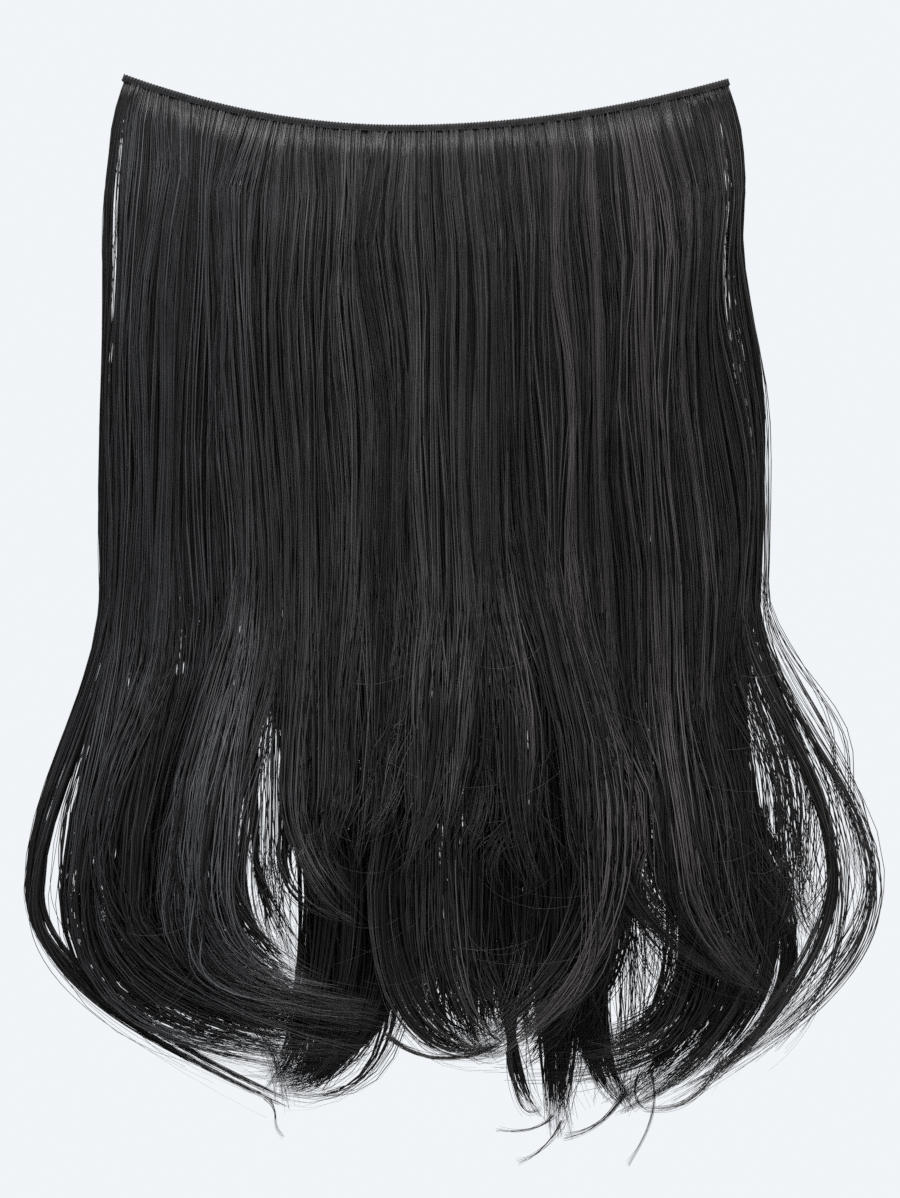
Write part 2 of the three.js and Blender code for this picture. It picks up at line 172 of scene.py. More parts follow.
# Hairs: how many, how thick and how finely cut.
HAIRS_PER_WIDTH = 6.3 / MM  # hairs in a plain lock for each metre of its width
HAIR_RADIUS = 0.18 * MM
HAIR_RADIUS_SPREAD = 0.045 * MM
HAIR_RADIUS_LIMITS = (0.1 * MM, 0.34 * MM)
HAIR_SWELL = 1.35  # how much thicker a hair is in its lock than in the fall
SWELL_STAGES = (0.9, 1.9)  # stages of a hair between which it grows thicker
HAIR_POINT = 0.25  # the share of its thickness left at its tip
POINT_STAGES = (2.3, 3)  # stages between which it thins out
ROOT_SINK = 0.3 * BAND_HEIGHT  # how far below the weft's middle the hairs start
HAIR_SIDES = 3
FALL_STEPS, SWING_STEPS, CURL_STEPS = 8, 4, 8
FALL_STEP_GROWTH = 1.35  # how the steps lengthen down the fall
STEP_JITTER = 0.4
FINE_STEPS = 2  # how many times finer the hairs are worked out than most of them are cut
TUBE_MAP = "OFBake"  # the map that spreads the hairs side by side
MAP_MARGIN = 0.06  # the share of a hair's cell in the map that stays free on each side
CAP_SPREAD = 0.4  # the radius of an end cap in the map, as a share of that margin

# Inner bundles: thick hairs that close the fall and the middles of the locks, painted black as the shade
# inside them.
BUNDLE_SHARES = (0.3, 0.13)  # their share of the hairs in a lock painted in full shade and in one painted fully lit
BUNDLE_RADIUS = 0.7 * MM
BUNDLE_PLACE = 0.7  # how far from the middle of a lock they lie, as a share of its size
BUNDLE_LENGTH = 0.8  # the share of the curl that they follow
BUNDLE_DEPTH = 0.3  # the share of the fall's depth that they lie in
THIN_FILL = 0.5  # a lock filled less than this has none
DEEP_PAINTED_SHADE = 0.45  # the hairs of a lock whose painted shade is no lighter than this are as matt as the inner bundles

# Openings in the fall, in millimetres: a slit centred on x between two heights. half_width is how far
# it pushes the hairs aside at its middle and reach how far from it they still move. front is 1 where
# only the front opens.
PART_COLUMNS = ("x", "top_z", "low_z", "half_width", "reach", "front")
PART_ROWS = (
    (-147.4, 14, -150, 2.1, 3.0, 0),
    (150.4, 6, -110, 2.5, 3.0, 0),
    (152.6, -60, -210, 2.2, 2.6, 0),
    (138.0, -20, -66, 1.1, 2.5, 0),
    (-102, -90, -215, 1.6, 6, 1),
    (-86, -60, -190, 1.2, 5, 1),
    (-70, -100, -240, 1.6, 6, 1),
    (-37, -20, -120, 1.2, 5, 1),
    (-8, -120, -240, 1.4, 6, 1),
    (34, -80, -230, 1.2, 5, 1),
    (66, -130, -250, 1.4, 6, 1),
    (103, -60, -200, 1.2, 5, 1),
)
PARTS = [dict(zip(PART_COLUMNS, row)) for row in PART_ROWS]
PART_FRONT_DEPTH = -0.15  # hairs nearer the front than this depth count as front ones
PART_SHAPE = 0.7  # the power that rounds an opening's ends

# Sway of the fall: waves that run across and down it, in millimetres.
SWAY_COLUMNS = ("swing", "across", "length", "phase")
SWAY_ROWS = (
    (1.5, 1.3, 230, 0.4),
    (1.6, 3.1, 190, 2.1),
    (1.0, 6.7, 160, 4.0),
    (0.5, 13.0, 120, 1.2),
)
SWAYS = [dict(zip(SWAY_COLUMNS, row)) for row in SWAY_ROWS]
SWAY_DROPS = (15 * MM, 80 * MM)  # how far below the weft the sway starts and is full

# Kinks, in millimetres: hairs near x shift sideways from top_z to full_z and are back by end_z.
KINK_COLUMNS = ("x", "top_z", "full_z", "end_z", "reach", "shift")
KINK_ROWS = (
    (-121, 16, -14, -110, 13, 7),
    (-84, 2, -28, -120, 13, -7),
    (-50, -4, -40, -150, 14, 4),
    (-18, -10, -50, -130, 12, -3),
    (26, -15, -60, -160, 16, 3),
    (78, -5, -45, -150, 14, -4),
    (112, 4, -40, -130, 12, 4),
)
KINKS = [dict(zip(KINK_COLUMNS, row)) for row in KINK_ROWS]

# Bunches of hairs side by side in each layer of the fall.
STREAK_PULLS = (0.5, 0.4, 0.25, 0.15, 0.1)  # how much the hairs of each layer bunch, front to back
STREAKS = 110  # edges between bunches in each layer
STREAK_RELIEF = 1.6 * MM
STREAK_RELIEF_LIMITS = (-0.3, 1)  # the least and most of that relief that a bunch has
BACK_RELIEF = 0.4  # the share of it on the back of the fall
STREAK_TONE = 0.08
BUNCH_SWING = 3.0 * MM
BUNCH_WAVE = 190 * MM
BUNCH_WAVE_LIMITS = (0.7, 1.5)
TUFT_PULL = 0.5  # how much the hairs draw together into tufts just below the weft
TUFT_RELIEF = 0.2
TUFT_DROP = 12 * MM  # the distance below the weft at which they do so most
DEPTH_COLUMNS = 60  # columns of the fall in each of which the hairs spread from front to back
NEAR_SPAN = 6 * MM  # a lock this much further forward lies a whole layer nearer
NEAR_SHARE = 0.5  # how much a hair's own place in its lock adds to that

# How hairs pass from the fall into their locks.
EVEN_SHARE = 0.5  # how evenly they spread along the weft, against hanging straight above their lock
GATHER_STAGES = (0.35, 2.0)  # stages of a hair between which it moves from the fall into its lock
OUTER_WIDTH = 10 * MM  # a lock no wider than this stands alone
LEAN_SHARE = 0.8  # how far the outer hairs of a lock may lean over to its neighbour
LEAN_POWERS = (1, 4)  # how few of them do, in a wide lock and in one that stands alone
CLUMP_WIDTH = 3.4 * MM
CLUMP_PULLS = (0.3, 0.75)  # how far hairs draw towards their clump, all along and more in the curl
CLUMP_STAGES = (0.8, 2.7)  # stages of a hair between which the second pull grows
THIN_PULL = 0.3  # the share of that pull in a thin lock

# How far clumps and single hairs stray from their lock's own line, as a share of its width.
CLUMP_SPREAD = {
    "bend_z": 0.5,
    "belly_x": 0.18,
    "belly_z": 0.4,
    "tip_x": 0.35,
    "tip_z": 0.18,
    "belly_y": 0.14,
    "tip_y": 0.2,
}
HAIR_SPREAD = {
    "belly_x": 0.08,
    "belly_z": 0.18,
    "tip_x": 0.15,
    "tip_z": 0.08,
    "belly_y": 0.06,
    "tip_y": 0.08,
}
TIP_SPREADS = (0.2, 2.2)  # the share of the spread at the tip of a pointed lock and of a blunt one
CLUMP_HOOK_SPREAD = 0.1 / (24 * MM)  # for each metre of a lock's width
HOOK_LIMIT = 1.2
RAGGED_POWER = 1.4
CLUMP_WAVE = 2.3 * MM
CLUMP_WAVE_TURNS = (0.25, 0.6)  # turns of its wave in each stage of a hair
WAVE_STAGES = (0.8, 1.8)  # stages between which the wave grows
TAPER = 2.6  # how late along the curl a lock thins out
FLAT_SHARE = 0.4  # the share of its thickness that a lock has where it leaves the fall

# Loose hairs that wander off their lock.
STRAY_SHARE = 0.13
STRAY_REACH = 14 * MM  # how far the furthest tip wanders
STRAY_START, STRAY_START_SPAN = 0.6, 1.6  # the stage where the first one leaves, and the span to the last
STRAY_RISE = 0.6  # how far they go up or down, as a share of how far they go sideways
STRAY_THICKNESS = 0.55  # as a share of a hair that stays

# Tones from 0, dark, to 1, light: random from hair to hair, with painted shade and painted sheen laid
# over them.
TONE_MIDDLE, TONE_CLUMP, TONE_HAIR = 0.27, 0.15, 0.16
PAINTED_SHEEN = 0.4  # painted sheen: how far the tone of a clump rises and falls along it
PAINTED_SHEEN_TURNS = (0.3, 0.9)
FALL_PAINTED_SHADES = (0.75, 1)  # the least and most of its lock's painted shade and highlight that a hair has in the fall
PAINTED_SHADE_STAGES = (0.7, 1.7)  # stages of a hair between which it takes on its lock's full painted shade or painted highlight
ROOT_PAINTED_SHADE = 0.1  # painted shade below the weft: the share of its tone that a hair has at the weft
ROOT_SHADE_FADE = 14 * MM
LOOSE_TONE = 0.3  # of the wisps and flyaway hairs

# Wisps, in millimetres: curves from a start to an end past two handles, with the number of hairs in
# each and how far they spread.
WISP_COLUMNS = (
    "start_x", "start_z", "out_x", "out_z", "in_x", "in_z", "end_x", "end_z", "y", "hairs", "spread",
)
WISP_ROWS = {
    "left_tip": (-74, -447, -66, -453, -72, -460, -65.6, -465, -5, 7, 1.2),
    "left_turn": (-100, -402, -82, -407, -69, -420, -65, -447, -5, 44, 7),
    "tail_hook": (38, -428, 41, -449, 45, -460, 52.7, -454, 4, 14, 1.6),
    "tail_left": (59, -456, 55, -463, 42, -465, 33, -463, 4, 9, 1.5),
    "tail_low": (63, -460, 58, -470, 50, -476, 43, -478, 4, 9, 1.5),
    "point_arc": (92, -446, 86, -458, 76, -465, 64, -467, 6, 18, 2),
    "low_right": (104, -436, 109, -453, 103, -465, 93, -480, 6, 8, 1.6),
    "right_arc": (138, -430, 129, -447, 117, -455, 103, -453, 2, 20, 3),
    "inner_arc": (134, -423, 127, -437, 114, -445, 101, -444, 4, 14, 3),
    "point_curl": (99, -437, 94, -447, 99, -455, 105, -454, 6, 9, 1.5),
    "front_flick": (-58, -333, -52, -352, -42, -359, -33, -364, -22, 12, 2.4),
    "cup_rim": (-18, -418, -4, -432, 20, -432, 36, -420, -6, 26, 1.8),
    "left_cross": (-151, -359, -144, -373, -128, -371, -113, -369, -16, 4, 4),
    "left_net": (-80, -328, -74, -348, -66, -366, -58, -384, -4, 16, 9),
    "left_net_back": (-62, -326, -72, -346, -80, -366, -84, -384, -3, 12, 8),
    "right_net": (92, -362, 100, -376, 108, -388, 116, -398, 0, 14, 9),
    "right_net_back": (112, -362, 106, -376, 98, -390, 92, -402, 0, 10, 9),
}
WISP_STEPS = 14
WISP_RADIUS = 0.16 * MM
WISP_POINT = 0.3  # the share of its thickness left at its tip
WISP_SPREAD = 0.5  # the share of a wisp's spread by which one of its hairs mostly strays

# Flyaway hairs over the curls.
FLYAWAYS = 260
FLYAWAY_TRIES = 4  # how many are drawn for each that is kept
FLYAWAY_LEFT, FLYAWAY_RIGHT, FLYAWAY_LOW = -150 * MM, 172 * MM, -415 * MM  # none leaves these bounds
FLYAWAY_STEPS = 9
FLYAWAY_STAGES = (1.4, 2.6)  # stages of a lock hair between which they leave it
FLYAWAY_LENGTHS = (20 * MM, 60 * MM)
FLYAWAY_TURN = 0.55  # spread of the heading from the hair that it leaves, in radians
FLYAWAY_BEND = 1.1  # spread of the turn along their way, in radians
FLYAWAY_PROUD = 3 * MM  # how far forward their ends stand at most
FLYAWAY_RADIUS = 0.1 * MM
FLYAWAY_POINT = 0.5  # the share of their thickness left at the tip

# Finishes: colours, and how the mottle varies the roughness and tone of each.
MOTTLE_DETAIL = 3
MOTTLE_SPAN = (0.3, 0.7)  # the part of the noise that is spread out between low and high
FIBRE_DARK = (0.002, 0.002, 0.002, 1)
FIBRE_COOL = (0.09, 0.0915, 0.099, 1)
FIBRE_WARM = (0.1035, 0.093, 0.093, 1)
COOL_X, WARM_X = -0.1, 0.06  # where the hair is cool and where it is warm
OUTER_ROUGHNESS = {"Scale": 60.0, "Low": 0.34, "High": 0.48}
OUTER_SPECULAR = 0.42
INNER_ROUGHNESS = {"Scale": 60.0, "Low": 0.6, "High": 0.75}
INNER_SPECULAR = 0.25
HAIR_TONE = {"Scale": 35.0, "Low": 0.75, "High": 1.25}
THREAD_COLOURS = {"Cool": (0.02, 0.021, 0.024, 1), "Warm": (0.022, 0.021, 0.023, 1)}
THREAD_ROUGHNESS = {"Scale": 900.0, "Low": 0.5, "High": 0.75}
THREAD_TONE = {"Scale": 250.0, "Low": 0.2, "High": 0.8}
THREAD_SPECULAR = 0.2
TWIST_SCALE = 1600
TWIST_STRENGTH = 0.4
TWIST_DEPTH = 0.05 * MM
LACQUER_COLOURS = ((0.011, 0.011, 0.012, 1), (0.02, 0.02, 0.021, 1))
LACQUER_ROUGHNESS = {"Scale": 300.0, "Low": 0.28, "High": 0.45}
LACQUER_TONE = {"Scale": 120.0}
LACQUER_COAT = 0.3
FLOOR_COLOURS = ((0.35, 0.355, 0.36, 1), (0.37, 0.375, 0.38, 1))
FLOOR_ROUGHNESS = {"Scale": 8.0, "Low": 0.75, "High": 0.9}
FLOOR_TONE = {"Scale": 3.0}

# Stage, in metres: the camera, the lamps (place, width and power), the surround and the floor.
CAMERA_PLACE = (0.0111, -1.5375, -0.2175)
LENS = 100  # in millimetres, like the sensor's width
SENSOR_WIDTH = 36
LAMP_AIM = np.array([0.01, 0, -0.2])
LAMPS = {
    "key_lamp": ((-0.15, -0.8, 1.2), 1.1, 54),
    "fill_lamp": ((0.7, -1.5, 0.15), 1.0, 11),
    "back_lamp": ((0.2, 1.1, 0.8), 1.1, 60),
}
SURROUND_SEEN = (0.875, 0.905, 0.935, 1)
SURROUND_LIGHT = (0.9, 0.95, 1.0, 1)
SURROUND_STRENGTH = 0.2
FLOOR_Z = -0.76
FLOOR_RADIUS = 1.2
FLOOR_SIDES = 96


def mix(low, high, share):
    """Goes from low to high: low plus the share of what lies between them."""
    return low + (high - low) * share


def smooth(share):
    """Eases 0 to 1: three times the square less twice the cube of the share, held within 0 and 1."""
    share = np.clip(share, 0, 1)
    return share * share * (3 - 2 * share)


def eased(value, limits):
    """Eases 0 to 1 as the value goes from the first limit to the second."""
    return smooth((value - limits[0]) / (limits[1] - limits[0]))


def weft_rise(x):
    """Height above the weft's lowest point: a parabola on each side."""
    left = x < WEFT_LOW_X
    run = np.where(left, WEFT_CHORD / 2 + WEFT_LOW_X, WEFT_CHORD / 2 - WEFT_LOW_X)
    rise = np.where(left, WEFT_LEFT_RISE, WEFT_RIGHT_RISE)
    return rise * ((x - WEFT_LOW_X) / run) ** 2


def weft_z(x):
    """Height of the weft's middle line: its rise, less the rise at the origin."""
    return weft_rise(x) - weft_rise(np.zeros(1))


def unit(vectors):
    """Vectors of length one: each over the root of its squares' sum."""
    return vectors / np.linalg.norm(vectors, axis=-1, keepdims=True)


def add_object(name, data):
    """A new object in the scene that holds the data."""
    item = bpy.data.objects.new(name, data)
    bpy.context.collection.objects.link(item)
    return item


def tube_frames(paths):
    """Two directions square to each path and each other, the first square to Y too."""
    along = unit(np.gradient(paths, axis=1))
    first = unit(np.cross(along, Y_AXIS))
    return first, np.cross(along, first)


def tube_points(paths, radii, sides):
    """Rings round each path: its two directions times the radius and cosine or sine of even angles."""
    first, second = tube_frames(paths)
    angle = 2 * np.pi * np.arange(sides)[:, None] / sides
    ring = np.cos(angle) * first[:, :, None] + np.sin(angle) * second[:, :, None]
    return paths[:, :, None] + radii[:, :, None, None] * ring


def tube_faces(count, steps, sides):
    """Quads between neighbouring rings of every tube, and one flat cap on each of its ends."""
    start = (np.arange(count) * steps * sides)[:, None, None]
    ring = (np.arange(steps - 1) * sides)[None, :, None]
    side = np.arange(sides)[None, None, :]
    turn = (side + 1) % sides
    low = start + ring
    quads = np.stack([low + side, low + turn, low + sides + turn, low + sides + side], axis=-1)
    head = start[:, 0] + np.arange(sides)[None, ::-1]
    tail = start[:, 0] + (steps - 1) * sides + np.arange(sides)[None, :]
    return quads.reshape(-1, 4), np.concatenate([head, tail])


def tube_map(count, steps, sides):
    """A map with a cell for each tube: across the cell goes round the tube, up the cell goes along it."""
    columns = int(np.ceil(np.sqrt(count)))
    rows = int(np.ceil(count / columns))
    tube = np.arange(count)
    corner = np.stack([tube % columns, tube // columns], axis=-1)
    round_share = np.arange(sides)[None, :, None] + np.array([0, 1, 1, 0])[None, None, :]
    along_share = np.arange(steps - 1)[:, None, None] + np.array([0, 0, 1, 1])[None, None, :]
    round_share, along_share = np.broadcast_arrays(round_share / sides, along_share / (steps - 1))
    inside = MAP_MARGIN + (1 - 2 * MAP_MARGIN) * np.stack([round_share, along_share], axis=-1)
    quads = (corner[:, None, None, None] + inside[None]) / np.array([columns, rows])
    cap_angle = 2 * np.pi * np.arange(sides) / sides
    cap = CAP_SPREAD * np.stack([np.cos(cap_angle), np.sin(cap_angle)], axis=-1)
    low = 0.5 + cap * MAP_MARGIN
    head = (corner[:, None] + low[None, ::-1] * np.array([1, MAP_MARGIN])) / np.array([columns, rows])
    tail = (corner[:, None] + 1 - low[None] * MAP_MARGIN) / np.array([columns, rows])
    return np.concatenate([quads.reshape(-1, 2), head.reshape(-1, 2), tail.reshape(-1, 2)])


def add_tubes(name, paths, radii, sides, tones, materials, chosen):
    """One mesh of closed tubes along the paths. Each ring of a tube has its tone, and each tube its
    chosen one of the materials."""
    count, steps = paths.shape[:2]
    points = tube_points(paths, radii, sides).reshape(-1, 3)
    quads, caps = tube_faces(count, steps, sides)
    corners = np.concatenate([quads.ravel(), caps.ravel()]).astype(np.int32)
    starts = np.concatenate([np.arange(len(quads)) * 4, len(quads) * 4 + np.arange(len(caps)) * sides])
    mesh = bpy.data.meshes.new(name)
    mesh.vertices.add(len(points))
    mesh.vertices.foreach_set("co", points.ravel().astype(np.float32))
    mesh.loops.add(len(corners))
    mesh.loops.foreach_set("vertex_index", corners)
    mesh.polygons.add(len(starts))
    mesh.polygons.foreach_set("loop_start", starts.astype(np.int32))
    mesh.polygons.foreach_set("use_smooth", np.ones(len(starts), dtype=bool))
    mesh.update(calc_edges=True)
    tone = mesh.attributes.new("tone", "FLOAT", "POINT")
    tone.data.foreach_set("value", np.repeat(tones.ravel(), sides).astype(np.float32))
    uv = mesh.uv_layers.new(name=TUBE_MAP)
    uv.data.foreach_set("uv", tube_map(count, steps, sides).ravel().astype(np.float32))
    for material in materials:
        mesh.materials.append(material)
    of_quads = np.repeat(chosen, (steps - 1) * sides)
    of_faces = np.concatenate([of_quads, chosen, chosen])
    mesh.polygons.foreach_set("material_index", of_faces.astype(np.int32))
    piece = add_object(name, mesh)
    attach(piece, "root")


def bunched(across, share, edges, proud):
    """Moves each place across the fall towards the middle of the bunch it lies in, by the given share.
    The bunch also stands proud of the fall, by a parabola over its width times its own amount."""
    bunch = np.clip(np.searchsorted(edges, across[:, 0]) - 1, 0, len(edges) - 2)
    middle = (edges[bunch] + edges[bunch + 1])[:, None] / 2
    half = (edges[bunch + 1] - edges[bunch])[:, None] / 2
    relief = proud[bunch][:, None] * (1 - ((across - middle) / half) ** 2)
    return mix(across, middle, share), relief, bunch


def opened(across, z, depth, dense):
    """How far each opening pushes places aside: its half width, times half a sine between its ends,
    fading as the exponential of the distance from its middle line. Only dense locks give way."""
    moved = np.zeros_like(across)
    x = mix(FALL["left"][-1], FALL["right"][-1], across)
    for part in PARTS:
        down = np.clip((part["top_z"] * MM - z) / ((part["top_z"] - part["low_z"]) * MM), 0, 1)
        away = x - part["x"] * MM
        layer = np.where(depth < PART_FRONT_DEPTH, 1.0, 0.0) if part["front"] else 1.0
        push = part["half_width"] * MM * np.sin(np.pi * down) ** PART_SHAPE * layer * dense
        moved = moved + push * np.sign(away) * np.exp(-np.abs(away) / (part["reach"] * MM))
    return moved


def kinked(x, z):
    """How far each kink shifts places sideways: eased in from its top to its middle and out again to
    its end, and fading as a bell over the distance from its middle line."""
    moved = np.zeros_like(x)
    for kink in KINKS:
        in_share = eased(z, (kink["top_z"] * MM, kink["full_z"] * MM))
        out_share = eased(z, (kink["full_z"] * MM, kink["end_z"] * MM))
        bell = np.exp(-((x - kink["x"] * MM) / (kink["reach"] * MM)) ** 2)
        moved = moved + kink["shift"] * MM * in_share * (1 - out_share) * bell
    return moved


def fall_places(across, depth, drop, z, bunching, dense):
    """Places in the straight fall: between its edges by the share across, its front and back by the
    depth, moved by the sways, kinks, bunches and openings. Gives the tone of each hair's bunch too."""
    grown = eased(drop, SWAY_DROPS)
    tufted = np.exp(-((drop - TUFT_DROP) / TUFT_DROP) ** 2)
    layers = len(STREAK_PULLS)
    layer = np.clip(((depth + 1) / 2 * layers).astype(int), 0, layers - 1)[:, 0]
    relief = np.zeros_like(across)
    drift = np.zeros_like(across)
    tone = np.zeros(len(across))
    for number, pull in enumerate(STREAK_PULLS):
        chosen = (layer == number) & bunching
        edges = np.sort(np.concatenate([[0, 1], RNG.random(STREAKS)]))
        proud = STREAK_RELIEF * RNG.uniform(*STREAK_RELIEF_LIMITS, STREAKS + 1)
        share = np.maximum(pull * grown, TUFT_PULL * tufted)[chosen]
        across[chosen], relief[chosen], bunch = bunched(across[chosen], share, edges, proud)
        turn = 2 * np.pi * RNG.random(STREAKS + 1)[bunch][:, None]
        length = BUNCH_WAVE * RNG.uniform(*BUNCH_WAVE_LIMITS, STREAKS + 1)[bunch][:, None]
        drift[chosen] = BUNCH_SWING * pull * np.sin(turn + 2 * np.pi * drop[chosen] / length)
        tone[chosen] = STREAK_TONE * RNG.standard_normal(STREAKS + 1)[bunch]
    left = np.interp(drop, FALL["drop"], FALL["left"])
    right = np.interp(drop, FALL["drop"], FALL["right"])
    hung_x = mix(left, right, across)
    x = hung_x + drift * grown + opened(across, z, depth, dense) + kinked(hung_x, z)
    for sway in SWAYS:
        angle = 2 * np.pi * (sway["across"] * across + drop / (sway["length"] * MM)) + sway["phase"]
        x = x + sway["swing"] * MM * grown * np.sin(angle)
    front = np.interp(drop, FALL["drop"], FALL["front"])
    back = np.interp(drop, FALL["drop"], FALL["back"])
    raised = relief * np.maximum(grown, TUFT_RELIEF * tufted)
    y = np.where(depth < 0, front, back) * depth + np.where(depth < 0, -1, BACK_RELIEF) * raised
    return x, y, tone


def lock_lines(lock, fall, swing, curl, root_z):
    """Centre lines of the locks: straight down to the bend, an eased swing to the belly, then a
    quadratic curve whose middle handle hangs straight below the belly."""
    swung = smooth(swing)
    x = mix(lock["fall_x"], lock["belly_x"], swung) + (lock["tip_x"] - lock["belly_x"]) * curl ** 2
    y = mix(lock["fall_y"], lock["belly_y"], swung) + (lock["tip_y"] - lock["belly_y"]) * smooth(curl)
    turn = (lock["tip_z"] - lock["belly_z"]) * (2 * curl * (1 - curl) * lock["hook"] + curl ** 2)
    z = mix(root_z, lock["bend_z"], fall) + (lock["belly_z"] - lock["bend_z"]) * swing + turn
    return np.stack([x, y, z], axis=-1)


def lock_table():
    """The lock rows as one array for each column, in metres, and the group of each row."""
    rows = [row for group in LOCK_GROUPS.values() for row in group.values()]
    groups = np.array([name for name, group in LOCK_GROUPS.items() for row in group])
    table = {}
    for name, values in zip(LOCK_COLUMNS, np.array(rows, float).T):
        table[name] = values if name in SHARE_COLUMNS else MM * values
    return table, groups


def disc_places(count):
    """Places spread evenly over a unit disc: the root of a share for the radius, any angle."""
    radius = np.sqrt(RNG.random(count))
    angle = 2 * np.pi * RNG.random(count)
    return np.stack([radius * np.cos(angle), radius * np.sin(angle)], axis=-1)


def leaning_locks(table, groups, owner, sideways):
    """Each hair's lock values: its lock's own, leaning to the next lock's if it lies on that side.

    The next lock is the nearest of the same group on that side by its place in the fall. The share
    grows with the square of the place beside the lock's middle, times a random share."""
    gap = table["fall_x"][None, :] - table["fall_x"][:, None]
    same = groups[None, :] == groups[:, None]
    power = np.where(table["width"] > OUTER_WIDTH, *LEAN_POWERS)
    right = np.argmin(np.where(same & (gap > 0), gap, np.inf), axis=1)
    left = np.argmax(np.where(same & (gap < 0), gap, -np.inf), axis=1)
    has_right = (same & (gap > 0)).any(axis=1)
    has_left = (same & (gap < 0)).any(axis=1)
    near = np.where(sideways > 0, left[owner], right[owner])
    there = np.where(sideways > 0, has_left[owner], has_right[owner])
    chance = RNG.random(len(owner)) ** np.maximum(power[owner], power[near])
    lean = LEAN_SHARE * sideways ** 2 * chance * there
    return {name: mix(values[owner], values[near], lean) for name, values in table.items()}


def ranked(values):
    """The rank of each value as a share between 0 and 1."""
    rank = np.empty(len(values))
    rank[np.argsort(values)] = (np.arange(len(values)) + 0.5) / len(values)
    return rank


def spread_depths(across, nearness):
    """Depths from -1, front, to 1, back: the rank of each hair's nearness in its column of the fall."""
    column = np.clip(across * DEPTH_COLUMNS, 0, DEPTH_COLUMNS - 1).astype(int)
    order = np.lexsort((nearness, column))
    size = np.bincount(column, minlength=DEPTH_COLUMNS)
    first = np.concatenate([[0], np.cumsum(size)[:-1]])
    rank = np.empty(len(across))
    rank[order] = np.arange(len(across)) - first[column[order]]
    return 2 * (rank + 0.5) / size[column] - 1


def weft_shares(bend_x, bundle):
    """Places along the weft: for a hair a mix of its rank and the place right above its lock, for an
    inner bundle its rank among the bundles."""
    straight = (bend_x - FALL["left"][-1]) / (FALL["right"][-1] - FALL["left"][-1])
    across = np.clip(mix(straight, ranked(bend_x), EVEN_SHARE), 0, 1)
    across[bundle] = ranked(bend_x[bundle])
    return across


def hair_stages(count):
    """Jittered steps along each hair: to 1 in the fall, to 2 in the swing and to 3 in the curl."""
    fall = np.linspace(0, 1, FINE_STEPS * FALL_STEPS + 1) ** FALL_STEP_GROWTH
    swing = np.linspace(0, 1, FINE_STEPS * SWING_STEPS + 1)[1:]
    curl = np.linspace(0, 1, FINE_STEPS * CURL_STEPS + 1)[1:]
    stage = np.concatenate([fall, 1 + swing, 2 + curl])[None, :]
    inside = np.where((stage > 0) & (stage < 3), 1, 0)
    return stage + STEP_JITTER * RNG.uniform(-1, 1, (count, 1)) * np.gradient(stage, axis=1) * inside


def wander(paths, stage, stray):
    """Lets loose hairs leave their lock: each is pushed in its own heading, by the square of the share of
    its way that it has gone since it left."""
    count = len(paths)
    begin = STRAY_START + STRAY_START_SPAN * RNG.random((count, 1))
    grown = stray * np.clip((stage - begin) / (3 - begin), 0, 1) ** 2
    heading = 2 * np.pi * RNG.random((count, 1))
    reach = STRAY_REACH * RNG.random((count, 1)) * grown
    paths[..., 0] += reach * np.cos(heading)
    paths[..., 2] += reach * np.sin(heading) * STRAY_RISE


def spread_locks(table, groups, owner, sideways, clump_spread, hair_spread):
    """Each hair's own lock values, strayed from its lock's line by random shares of the lock's width:
    one that its whole clump has and a smaller one of its own. The tips of a pointed lock stay closer
    than those of a blunt one."""
    lock = leaning_locks(table, groups, owner, sideways)
    tip_share = mix(*TIP_SPREADS, lock["blunt"])
    for spread, drawn in ((CLUMP_SPREAD, clump_spread), (HAIR_SPREAD, hair_spread)):
        for name, size in spread.items():
            share = tip_share if name.startswith("tip") else 1
            lock[name] = lock[name] + size * share * lock["width"] * drawn()
    hook = lock["hook"] + CLUMP_HOOK_SPREAD * lock["width"] * clump_spread()
    lock["hook"] = np.minimum(hook, HOOK_LIMIT)
    return lock


